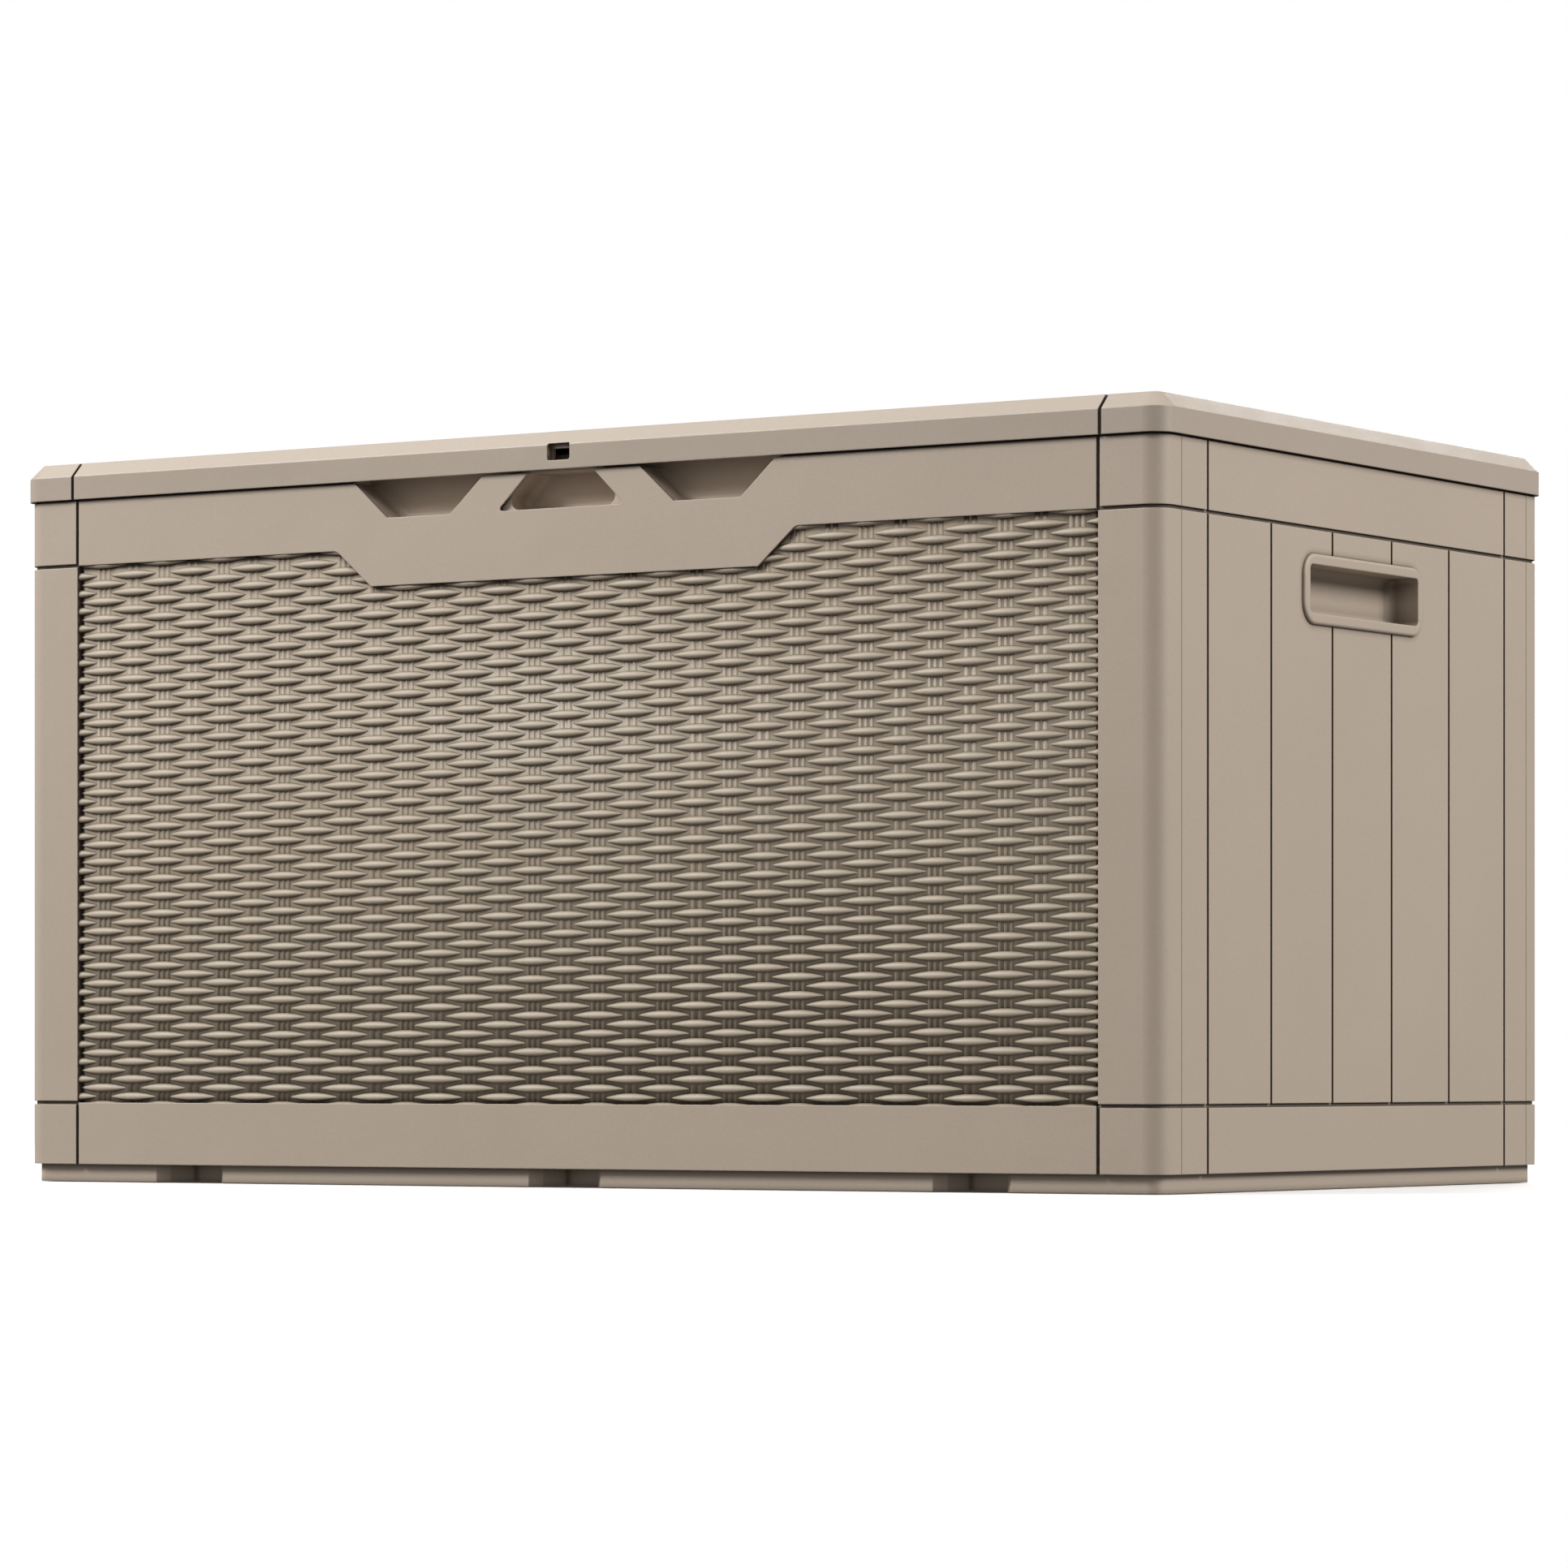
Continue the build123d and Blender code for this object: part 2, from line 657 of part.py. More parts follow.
with BuildPart() as right_handle_cup:
    with BuildSketch(Plane.YZ.offset(half_length)):
        with Locations((mid_y, handle_height)):
            RectangleRounded(*(size + 2 * handle_border for size in handle_opening), handle_corner)
    extrude(amount=handle_proud)
    fillet(right_handle_cup.faces().sort_by(Axis.X)[-1].edges(), handle_proud - 0.4)
    with BuildSketch(Plane.YZ.offset(half_length)):
        with Locations((mid_y, handle_height)):
            RectangleRounded(*cup_outer, cup_corner)
    extrude(amount=-handle_depth - liner_wall)
    tab_length, tab_width, tab_height = snap_tab
    tab_x = (half_length - skin - slip - tab_length, half_length - skin - slip)
    for y in (mid_y - snap_tab_offset, mid_y + snap_tab_offset):
        for low in (-cup_outer[1] / 2 - tab_height, cup_outer[1] / 2 - embed):
            tab_z = (handle_height + low, handle_height + low + tab_height + embed)
            block(tab_x, (y - tab_width / 2, y + tab_width / 2), tab_z)
    add(handle_cavity.part, mode=Mode.SUBTRACT)
    mouth = right_handle_cup.faces().sort_by(Axis.X)[-1].inner_wires()[0].edges()
    fillet(mouth, 1)
save("right_handle_cup", right_handle_cup.part)
save("left_handle_cup", mirror(right_handle_cup.part, about=Plane.YZ))

# ---------------------------------------------------------------- lid
# One moulded shell: lip, bevel, planked top, ribs below, hinge lugs behind and pads for the fittings.


def lid_block(inset, low):
    """Solid outline of the lid, set in from its outer faces all round."""
    with BuildPart() as piece:
        with BuildSketch(Plane(origin=(0, mid_y, low))):
            RectangleRounded(
                body_length + 2 * (lid_overhang - inset),
                body_depth + 2 * (lid_overhang - inset),
                lid_corner_radius - inset,
            )
        extrude(amount=overall_height - inset - low)
        chamfer(piece.edges().group_by(Axis.Z)[-1], lid_bevel)
    return piece.part


lid_half_length = half_length + lid_overhang
lid_half_depth = body_depth / 2 + lid_overhang
with BuildPart() as lid_grooves:
    for x in (-lid_half_length + corner_strip, lid_half_length - corner_strip):
        block(
            (x - groove_width / 2, x + groove_width / 2),
            (mid_y - lid_half_depth - 1, mid_y + lid_half_depth + 1),
            (lid_bottom - 1, overall_height + 1),
        )
    plank_width = 2 * (lid_half_depth - lid_bevel) / lid_planks
    for step in range(1, lid_planks):
        y = mid_y - lid_half_depth + lid_bevel + step * plank_width
        block(
            (-lid_half_length + corner_strip, lid_half_length - corner_strip),
            (y - groove_width / 2, y + groove_width / 2),
            (overall_height - groove_depth, overall_height + 1),
        )
    add(lid_block(groove_depth, lid_bottom - 2), mode=Mode.SUBTRACT)

with BuildPart() as lid_panel:
    add(lid_block(0, lid_bottom))
    add(lid_block(skin, lid_bottom), mode=Mode.SUBTRACT)
    add(lid_grooves.part, mode=Mode.SUBTRACT)
    rib_z = (lid_rib_bottom, lid_skin_bottom + embed)
    rib_half_x = half_length - lid_rib_margin
    rib_half_y = body_depth / 2 - lid_rib_margin
    for x in rib_places(rib_half_x):
        block((x - rib / 2, x + rib / 2), (mid_y - rib_half_y, mid_y + rib_half_y), rib_z)
    for y in rib_places(rib_half_y):
        block((-rib_half_x, rib_half_x), (mid_y + y - rib / 2, mid_y + y + rib / 2), rib_z)
    for seat in saddle_seats:
        x, y = seat.origin.X, seat.origin.Y
        block((x - saddle_pad / 2, x + saddle_pad / 2), (y - saddle_ear / 2, y + saddle_ear / 2), rib_z)
    for side in (-1, 1):
        pad_x = sorted((side * (ear_x - bracket_flange - 2), side * (ear_x + stay_thickness)))
        block(pad_x, (pivot_y - bracket_half_width - 2, pivot_y + bracket_half_width + 2), rib_z)
    for station in hinge_stations:
        with BuildSketch(Plane.YZ.offset(station)):
            with Locations((hinge_y, hinge_z)):
                Circle(knuckle_radius)
            with BuildLine():
                lip_y = back_y + lid_overhang
                Polyline(
                    (lip_y - 1, lid_bottom),
                    (lip_y - 1, lid_bottom + lid_height - lid_bevel - 2),
                    (lip_y + 4, lid_bottom + lid_height - lid_bevel - 2),
                    (hinge_y + knuckle_radius - 0.5, hinge_z + 2),
                    (hinge_y - knuckle_radius + 0.5, hinge_z + 2),
                    close=True,
                )
            make_face()
            with Locations((hinge_y, hinge_z)):
                Circle(pin_radius + fit, mode=Mode.SUBTRACT)
        extrude(amount=lid_lug_width / 2, both=True)
    with BuildSketch(Plane.XZ.offset(-front_y + lid_overhang + 1)):
        with Locations((0, lid_bottom + padlock_rise)):
            RectangleRounded(*padlock_hole, 2)
    extrude(amount=-skin - 2, mode=Mode.SUBTRACT)
    bumper_places = [
        (sign * x, mid_y + side * (body_depth / 2 - rim_inset - rim_wall / 2))
        for sign in (-1, 1)
        for x in (bumper_station, half_length - bumper_corner)
        for side in (-1, 1)
    ]
    for x, y in bumper_places:
        with BuildSketch(Plane(origin=(x, y, lid_rib_bottom))):
            Circle(bumper_radius + 1)
        extrude(amount=lid_rib_height / 2)
        with BuildSketch(Plane(origin=(x, y, lid_rib_bottom))):
            Circle(bumper_stem + fit)
        extrude(amount=bumper_stem_length + fit, mode=Mode.SUBTRACT)
    screw_holes(bracket_seats, stay_thickness + fitting_screw_bite)
    screw_holes(saddle_seats, saddle_wall + fitting_screw_bite)
save("lid_panel", lid_panel.part)

# Rubber bumpers: small buttons pressed into bosses under the lid, just above the rain rim.
with BuildPart() as lid_bumpers:
    for x, y in bumper_places:
        with BuildSketch(Plane(origin=(x, y, rim_top + slip))):
            Circle(bumper_radius)
        extrude(amount=lid_rib_bottom - rim_top - slip)
        with BuildSketch(Plane(origin=(x, y, lid_rib_bottom))):
            Circle(bumper_stem)
        extrude(amount=bumper_stem_length)
save("lid_bumpers", lid_bumpers.part)

# ---------------------------------------------------------------- lid braces
# Two rectangular steel tubes under the ribs, each held by three moulded saddles.
for name, side in (("front", -1), ("rear", 1)):
    brace_y = mid_y + side * brace_offset
    with BuildPart() as brace:
        with BuildSketch(Plane.YZ.offset(-brace_length / 2)):
            with Locations((brace_y, lid_rib_bottom - brace_height / 2)):
                RectangleRounded(brace_width, brace_height, 2)
                RectangleRounded(
                    brace_width - 2 * brace_wall, brace_height - 2 * brace_wall, 1, mode=Mode.SUBTRACT
                )
        extrude(amount=brace_length)
    save(f"{name}_lid_brace", brace.part)

with BuildPart() as brace_saddles:
    for side in (-1, 1):
        for x in (-saddle_station, 0, saddle_station):
            with BuildSketch(Plane.YZ.offset(x)):
                low = lid_rib_bottom - brace_height - slip - saddle_wall
                half = brace_width / 2 + slip
                with Locations((mid_y + side * brace_offset, lid_rib_bottom)):
                    Rectangle(
                        2 * (half + saddle_wall),
                        lid_rib_bottom - low,
                        align=(Align.CENTER, Align.MAX),
                    )
                    Rectangle(
                        2 * (half + saddle_wall + saddle_ear),
                        saddle_wall,
                        align=(Align.CENTER, Align.MAX),
                    )
                    Rectangle(
                        2 * half, brace_height + slip, align=(Align.CENTER, Align.MAX), mode=Mode.SUBTRACT
                    )
            extrude(amount=saddle_length / 2, both=True)
    screw_holes(saddle_seats, saddle_wall + fitting_screw_bite)
save("brace_saddles", brace_saddles.part)
screw_group("saddle_screws", saddle_seats, saddle_wall + fitting_screw_bite)

# ---------------------------------------------------------------- lid stays
# Each stay is a flat arm riveted to a bracket under the lid. A pin at its other end slides in a slotted
# track on the end panel.
with BuildPart() as right_stay_track:
    block(
        (web_x, inner_x),
        (track_front, track_back),
        (hinge_z - track_half_height, hinge_z + track_half_height),
    )
    block(
        (web_x + track_wall, inner_x + 1),
        (track_front - 1, track_back + 1),
        (hinge_z - track_half_height + track_wall, hinge_z + track_half_height - track_wall),
        mode=Mode.SUBTRACT,
    )
    for seat in track_seats[:2]:
        y = seat.origin.Y
        boss_z = (hinge_z - track_boss, hinge_z + track_boss)
        block((web_x, inner_x), (y - track_boss, y + track_boss), boss_z)
    with BuildSketch(Plane.YZ.offset(web_x - sliver)):
        with Locations(((slider_y + slider_open_y) / 2, hinge_z)):
            SlotCenterToCenter(slider_open_y - slider_y, 2 * (pin_radius + slot_clearance))
    extrude(amount=track_wall + 2, mode=Mode.SUBTRACT)
    screw_holes(track_seats[:2], track_depth + fitting_screw_bite)
save("right_stay_track", right_stay_track.part)
save("left_stay_track", mirror(right_stay_track.part, about=Plane.YZ))
screw_group("track_screws", track_seats, track_depth + fitting_screw_bite)

with BuildPart() as right_stay_arm:
    arm_plane = Plane(
        origin=(arm_x, pivot_y, pivot_z), x_dir=(0, slider_y - pivot_y, hinge_z - pivot_z), z_dir=(1, 0, 0)
    )
    with BuildSketch(arm_plane):
        with Locations((stay_reach / 2, 0)):
            SlotCenterToCenter(stay_reach, stay_width)
        with Locations((0, 0), (stay_reach, 0)):
            Circle(pin_radius + fit, mode=Mode.SUBTRACT)
    extrude(amount=stay_thickness)
save("right_stay_arm", right_stay_arm.part)
save("left_stay_arm", mirror(right_stay_arm.part, about=Plane.YZ))

slider_head = pin_radius + slot_clearance + 2
slider_end = web_x + track_wall + slip
with BuildPart() as right_stay_slider:
    for start, end, radius in (
        (arm_x - rivet_head[1], arm_x, pin_radius + rivet_head[0]),
        (arm_x, slider_end, pin_radius),
        (slider_end, slider_end + rivet_head[1], slider_head),
    ):
        with BuildSketch(Plane.YZ.offset(start)):
            with Locations((slider_y, hinge_z)):
                Circle(radius)
        extrude(amount=end - start)
save("right_stay_slider", right_stay_slider.part)
save("left_stay_slider", mirror(right_stay_slider.part, about=Plane.YZ))

with BuildPart() as right_stay_bracket:
    ear_half, ear_drop = bracket_ear
    ear_y = (pivot_y - ear_half, pivot_y + ear_half)
    block((ear_x, ear_x + stay_thickness), ear_y, (pivot_z - ear_drop, lid_rib_bottom))
    fillet(right_stay_bracket.edges().filter_by(Axis.X).group_by(Axis.Z)[0], ear_drop - 1)
    block(
        (ear_x - bracket_flange, ear_x + stay_thickness),
        (pivot_y - bracket_half_width, pivot_y + bracket_half_width),
        (bracket_seat_z, lid_rib_bottom),
    )
    with BuildSketch(Plane.YZ.offset(ear_x)):
        with Locations((pivot_y, pivot_z)):
            Circle(pin_radius + fit)
    extrude(amount=stay_thickness, mode=Mode.SUBTRACT)
    screw_holes(bracket_seats[:2], stay_thickness + fitting_screw_bite)
save("right_stay_bracket", right_stay_bracket.part)
save("left_stay_bracket", mirror(right_stay_bracket.part, about=Plane.YZ))
screw_group("bracket_screws", bracket_seats, stay_thickness + fitting_screw_bite)

with BuildPart() as right_stay_pivot:
    arm_outer = arm_x + stay_thickness + fit
    for start, end, radius in (
        (ear_x - rivet_head[1], ear_x, pin_radius + rivet_head[0]),
        (ear_x, arm_outer, pin_radius),
        (arm_outer, web_x - 2 * fit, pin_radius + rivet_head[0]),
    ):
        with BuildSketch(Plane.YZ.offset(start)):
            with Locations((pivot_y, pivot_z)):
                Circle(radius)
        extrude(amount=end - start)
save("right_stay_pivot", right_stay_pivot.part)
save("left_stay_pivot", mirror(right_stay_pivot.part, about=Plane.YZ))
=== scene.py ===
import math

import bpy
import numpy as np
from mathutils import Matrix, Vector


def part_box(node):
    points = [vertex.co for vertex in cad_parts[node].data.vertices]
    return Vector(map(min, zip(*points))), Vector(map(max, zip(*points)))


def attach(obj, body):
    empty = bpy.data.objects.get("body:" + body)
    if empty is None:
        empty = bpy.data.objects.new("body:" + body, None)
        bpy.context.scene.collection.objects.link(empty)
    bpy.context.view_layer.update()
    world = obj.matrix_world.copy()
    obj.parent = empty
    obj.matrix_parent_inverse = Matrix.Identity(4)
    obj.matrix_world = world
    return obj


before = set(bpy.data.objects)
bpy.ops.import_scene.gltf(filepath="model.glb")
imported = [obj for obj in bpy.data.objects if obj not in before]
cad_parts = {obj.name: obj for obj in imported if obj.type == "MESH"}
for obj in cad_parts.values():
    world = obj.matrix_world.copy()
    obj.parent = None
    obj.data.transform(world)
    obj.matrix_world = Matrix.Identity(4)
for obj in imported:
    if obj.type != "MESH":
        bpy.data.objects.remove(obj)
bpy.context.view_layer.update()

# ---------------------------------------------------------------- camera
# A level long lens a little above the ground, round to the front right of the box. The picture is
# shifted up instead of the camera tilted, so that upright edges stay upright.
front_low, front_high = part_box("front_panel")
near_corner = Vector((front_high.x, front_low.y, 0.0))
camera_distance = 4.823
camera_aside = 0.2911
camera_height = 0.095
view_turn = math.radians(32.94)
view_forward = Vector((-math.sin(view_turn), math.cos(view_turn), 0.0))
view_right = Vector((math.cos(view_turn), math.sin(view_turn), 0.0))
camera_data = bpy.data.cameras.new("camera")
camera_data.sensor_width = 36.0
camera_data.lens = 143.9
camera_data.shift_y = 0.1832
camera = bpy.data.objects.new("camera", camera_data)
camera.location = near_corner - camera_distance * view_forward - camera_aside * view_right
camera.location.z = camera_height
camera.rotation_euler = (math.pi / 2, 0.0, view_turn)
bpy.context.scene.collection.objects.link(camera)
bpy.context.scene.camera = camera
bpy.context.scene.view_settings.view_transform = "Standard"


# ---------------------------------------------------------------- studio
# A pale floor that fades into a white room. The room's own light is bright overhead and dim below.
# One large softbox lights the front from the left, one lights the end from the right, two fill in.
def join(tree, value, socket):
    """Feeds a socket from another socket, or sets it to a plain value."""
    if isinstance(value, bpy.types.NodeSocket):
        tree.links.new(value, socket)
    else:
        socket.default_value = value


def calculate(tree, operation, first, second, clamp=False):
    """Result of one sum on two values."""
    node = tree.nodes.new("ShaderNodeMath")
    node.operation = operation
    node.use_clamp = clamp
    join(tree, first, node.inputs[0])
    join(tree, second, node.inputs[1])
    return node.outputs[0]


def spread(tree, value, low, high, to_low, to_high):
    """Value moved from one range to another and held inside it."""
    node = tree.nodes.new("ShaderNodeMapRange")
    for label, number in zip(
        ("Value", "From Min", "From Max", "To Min", "To Max"), (value, low, high, to_low, to_high)
    ):
        join(tree, number, node.inputs[label])
    return node.outputs["Result"]


horizon_strength = 0.3
overhead_strength = 0.85
below_loss = -0.1
room = bpy.data.worlds.new("white_room")
bpy.context.scene.world = room
room.use_nodes = True
room_tree = room.node_tree
room_direction = room_tree.nodes.new("ShaderNodeTexCoord").outputs["Generated"]
room_axes = room_tree.nodes.new("ShaderNodeSeparateXYZ")
room_tree.links.new(room_direction, room_axes.inputs[0])
room_above = spread(room_tree, room_axes.outputs["Z"], 0.0, 1.0, horizon_strength, overhead_strength)
room_below = spread(room_tree, room_axes.outputs["Z"], -0.5, 0.0, below_loss, 0.0)
room_light = calculate(room_tree, "ADD", room_above, room_below)
room_seen = room_tree.nodes.new("ShaderNodeLightPath").outputs["Is Camera Ray"]
room_strength = calculate(room_tree, "MAXIMUM", room_light, room_seen)
room_tree.links.new(room_strength, room_tree.nodes["Background"].inputs["Strength"])
room_tree.nodes["Background"].inputs["Color"].default_value = (1.0, 1.0, 1.0, 1.0)

lit_point = Vector((0.0, 0.0, 0.3))
for name, place, width, watts in (
    ("front_softbox", (-3.7, -3.8, 4.2), 2.2, 450.0),
    ("end_softbox", (5.0, 0.7, 3.1), 2.2, 250.0),
    ("rear_softbox", (-1.6, 4.6, 1.7), 2.0, 130.0),
    ("top_softbox", (-2.4, -0.4, 4.1), 2.6, 20.0),
):
    softbox_data = bpy.data.lights.new(name, "AREA")
    softbox_data.shape = "SQUARE"
    softbox_data.size = width
    softbox_data.energy = watts
    softbox = bpy.data.objects.new(name, softbox_data)
    softbox.location = place
    softbox.rotation_euler = (lit_point - Vector(place)).to_track_quat("-Z", "Y").to_euler()
    bpy.context.scene.collection.objects.link(softbox)

floor_reach = 9.0
floor_sides = 64
floor_drop = 0.0005
fade_start, fade_end = 1.2, 3.5
floor_mesh = bpy.data.meshes.new("floor")
floor_mesh.from_pydata(
    [
        (floor_reach * math.cos(turn), floor_reach * math.sin(turn), -floor_drop)
        for turn in (2 * math.pi * step / floor_sides for step in range(floor_sides))
    ],
    [],
    [tuple(range(floor_sides))],
)
floor = bpy.data.objects.new("floor", floor_mesh)
bpy.context.scene.collection.objects.link(floor)
floor.visible_diffuse = False
floor.visible_glossy = False
floor_paint = bpy.data.materials.new("pale_floor_paint")
floor_paint.use_nodes = True
floor_tree = floor_paint.node_tree
floor_paint_shader = floor_tree.nodes["Principled BSDF"]
floor_paint_shader.inputs["Base Color"].default_value = (0.88, 0.88, 0.88, 1.0)
floor_paint_shader.inputs["Roughness"].default_value = 0.9
floor_distance = floor_tree.nodes.new("ShaderNodeVectorMath")
floor_distance.operation = "LENGTH"
floor_tree.links.new(floor_tree.nodes.new("ShaderNodeTexCoord").outputs["Object"], floor_distance.inputs[0])
floor_fade = spread(floor_tree, floor_distance.outputs["Value"], fade_start, fade_end, 1.0, 0.0)
floor_tree.links.new(floor_fade, floor_paint_shader.inputs["Alpha"])
floor_mesh.materials.append(floor_paint)


# ---------------------------------------------------------------- base panel
# The ribbed plinth and floor, injection moulded in taupe resin like every other panel. The resin has a
# fine spark-eroded grain, a slow drift of colour, polished edges with a painted highlight along them,
# and painted brown shade in its crevices.
def shader_group(name, inputs, outputs):
    """Empty node group with named inputs, each a colour or a value, and named outputs."""
    group = bpy.data.node_groups.new(name, "ShaderNodeTree")
    for label, value in inputs.items():
        kind = "NodeSocketColor" if isinstance(value, tuple) else "NodeSocketFloat"
        group.interface.new_socket(label, in_out="INPUT", socket_type=kind).default_value = value
    for label, kind in outputs.items():
        group.interface.new_socket(label, in_out="OUTPUT", socket_type=kind)
    return group, group.nodes.new("NodeGroupInput").outputs, group.nodes.new("NodeGroupOutput").inputs


def lumps(tree, vector, scale, detail=2.0, roughness=0.5):
    """Soft noise about zero, with its scale in lumps per metre."""
    node = tree.nodes.new("ShaderNodeTexNoise")
    node.inputs["Scale"].default_value = scale
    node.inputs["Detail"].default_value = detail
    node.inputs["Roughness"].default_value = roughness
    tree.links.new(vector, node.inputs["Vector"])
    return calculate(tree, "SUBTRACT", node.outputs["Fac"], 0.5)


def blend_colours(tree, amount, first, second):
    """Mix of two colours by an amount."""
    node = tree.nodes.new("ShaderNodeMix")
    node.data_type = "RGBA"
    join(tree, amount, node.inputs[0])
    join(tree, first, node.inputs[6])
    join(tree, second, node.inputs[7])
    return node.outputs[2]


def scale_colour(tree, colour, factor):
    """Colour made lighter or darker by a factor."""
    node = tree.nodes.new("ShaderNodeVectorMath")
    node.operation = "SCALE"
    join(tree, colour, node.inputs[0])
    join(tree, factor, node.inputs["Scale"])
    return node.outputs[0]


def weighted_sum(tree, *terms):
    """Sum of values, each times its weight."""
    total = calculate(tree, "MULTIPLY", *terms[0])
    for value, weight in terms[1:]:
        total = calculate(tree, "ADD", total, calculate(tree, "MULTIPLY", value, weight))
    return total


edge_group, edge_in, edge_out = shader_group(
    "rounded_edges", {"Radius": 0.0012}, {"Normal": "NodeSocketVector", "Edge": "NodeSocketFloat"}
)
edge_roundest, edge_flat = 0.75, 0.995
edge_bevel = edge_group.nodes.new("ShaderNodeBevel")
edge_bevel.samples = 4
edge_group.links.new(edge_in["Radius"], edge_bevel.inputs["Radius"])
edge_compare = edge_group.nodes.new("ShaderNodeVectorMath")
edge_compare.operation = "DOT_PRODUCT"
edge_group.links.new(edge_bevel.outputs["Normal"], edge_compare.inputs[0])
edge_group.links.new(edge_group.nodes.new("ShaderNodeNewGeometry").outputs["Normal"], edge_compare.inputs[1])
edge_group.links.new(edge_bevel.outputs["Normal"], edge_out["Normal"])
edge_share = spread(edge_group, edge_compare.outputs["Value"], edge_roundest, edge_flat, 1.0, 0.0)
edge_group.links.new(edge_share, edge_out["Edge"])

# Painted shade: the colour is darkened towards a dark brown, and made duller, where ambient occlusion finds
# the surface closed in.
crevice_group, crevice_in, crevice_out = shader_group(
    "crevice_painted_shade",
    {"Reach": 0.006, "Amount": 0.8, "Closed": 0.55, "Open": 0.93},
    {"Painted Shade": "NodeSocketFloat"},
)
crevice_light = crevice_group.nodes.new("ShaderNodeAmbientOcclusion")
crevice_light.samples = 6
crevice_group.links.new(crevice_in["Reach"], crevice_light.inputs["Distance"])
crevice_depth = spread(
    crevice_group, crevice_light.outputs["AO"], crevice_in["Closed"], crevice_in["Open"], 1.0, 0.0
)
crevice_group.links.new(
    calculate(crevice_group, "MULTIPLY", crevice_depth, crevice_in["Amount"]), crevice_out["Painted Shade"]
)

resin_group, resin_in, resin_out = shader_group(
    "moulded_resin",
    {
        "Colour": (0.4, 0.34, 0.28, 1.0),
        "Painted Shade Colour": (0.045, 0.028, 0.016, 1.0),
        "Painted Shade": 0.0,
        "Edge": 0.0,
        "Drift": 0.10,
        "Roughness": 0.5,
    },
    {"Colour": "NodeSocketColor", "Roughness": "NodeSocketFloat", "Height": "NodeSocketFloat"},
)
speckle_shade = 0.10
# Painted highlight: the resin's colour is made lighter along rounded edges.
edge_highlight = 0.12
gloss_drift = 0.12
crevice_dulling = 0.3
edge_polish = -0.08
grain_height = 0.00012
ripple_height = 0.0008
resin_place = resin_group.nodes.new("ShaderNodeTexCoord").outputs["Object"]
resin_shade = weighted_sum(
    resin_group,
    (lumps(resin_group, resin_place, scale=3.5, detail=3.0), resin_in["Drift"]),
    (lumps(resin_group, resin_place, scale=320.0, detail=2.0, roughness=0.7), speckle_shade),
    (resin_in["Edge"], edge_highlight),
)
resin_unshaded = scale_colour(resin_group, resin_in["Colour"], calculate(resin_group, "ADD", resin_shade, 1.0))
resin_group.links.new(
    blend_colours(resin_group, resin_in["Painted Shade"], resin_unshaded, resin_in["Painted Shade Colour"]), resin_out["Colour"]
)
resin_gloss = weighted_sum(
    resin_group,
    (lumps(resin_group, resin_place, scale=30.0, detail=3.0), gloss_drift),
    (resin_in["Painted Shade"], crevice_dulling),
    (resin_in["Edge"], edge_polish),
)
resin_group.links.new(
    calculate(resin_group, "ADD", resin_gloss, resin_in["Roughness"], clamp=True), resin_out["Roughness"]
)
resin_group.links.new(
    weighted_sum(
        resin_group,
        (lumps(resin_group, resin_place, scale=1100.0, detail=3.0, roughness=0.6), grain_height),
        (lumps(resin_group, resin_place, scale=12.0, detail=1.0), ripple_height),
    ),
    resin_out["Height"],
)


def place_group(tree, group, values):
    """Group node in a material, with its own values set or linked."""
    node = tree.nodes.new("ShaderNodeGroup")
    node.node_tree = group
    for label, value in values.items():
        join(tree, value, node.inputs[label])
    return node.outputs


def finish_surface(tree, surface, normal=None):
    """Links a group's colour, roughness and height to the material's shader."""
    shader = tree.nodes["Principled BSDF"]
    bump = tree.nodes.new("ShaderNodeBump")
    bump.inputs["Distance"].default_value = 1.0
    tree.links.new(surface["Colour"], shader.inputs["Base Color"])
    tree.links.new(surface["Roughness"], shader.inputs["Roughness"])
    tree.links.new(surface["Height"], bump.inputs["Height"])
    if normal is not None:
        tree.links.new(normal, bump.inputs["Normal"])
    tree.links.new(bump.outputs["Normal"], shader.inputs["Normal"])
    return shader


def moulded_resin(name, colour, edge_radius=0.0012, reach=0.006, amount=0.9, closed=0.55, roughness=0.5):
    """Taupe resin as one panel shows it: painted shade darkens what is more closed in than a share of open
    air.
    """
    material = bpy.data.materials.new(name)
    material.use_nodes = True
    tree = material.node_tree
    edges = place_group(tree, edge_group, {"Radius": edge_radius})
    crevices = place_group(tree, crevice_group, {"Reach": reach, "Amount": amount, "Closed": closed})
    surface = place_group(
        tree,
        resin_group,
        {
            "Colour": (*colour, 1.0),
            "Painted Shade": crevices["Painted Shade"],
            "Edge": edges["Edge"],
            "Roughness": roughness,
        },
    )
    finish_surface(tree, surface, edges["Normal"])
    return material


def dress(material, *names):
    """Gives CAD nodes one material all over."""
    for name in names:
        for material_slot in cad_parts[name].material_slots:
            material_slot.material = material


taupe = (0.395, 0.322, 0.252)
# Painted shade darkens the plinth's ribs, notches and the strip under the walls.
dress(moulded_resin("base_resin", taupe, amount=0.6, roughness=0.55), "base_panel")

# ---------------------------------------------------------------- front, back and end panels
# Four moulded walls. Front and back wrap round the corners and have a recessed woven field, the ends
# are planked; all are screwed together from inside through their lap flanges.
# Painted shade darkens the plank grooves and other closed-in places of the walls.
panel_resin = moulded_resin("panel_resin", taupe, closed=0.7)
dress(panel_resin, "front_panel", "back_panel", "left_panel", "right_panel")

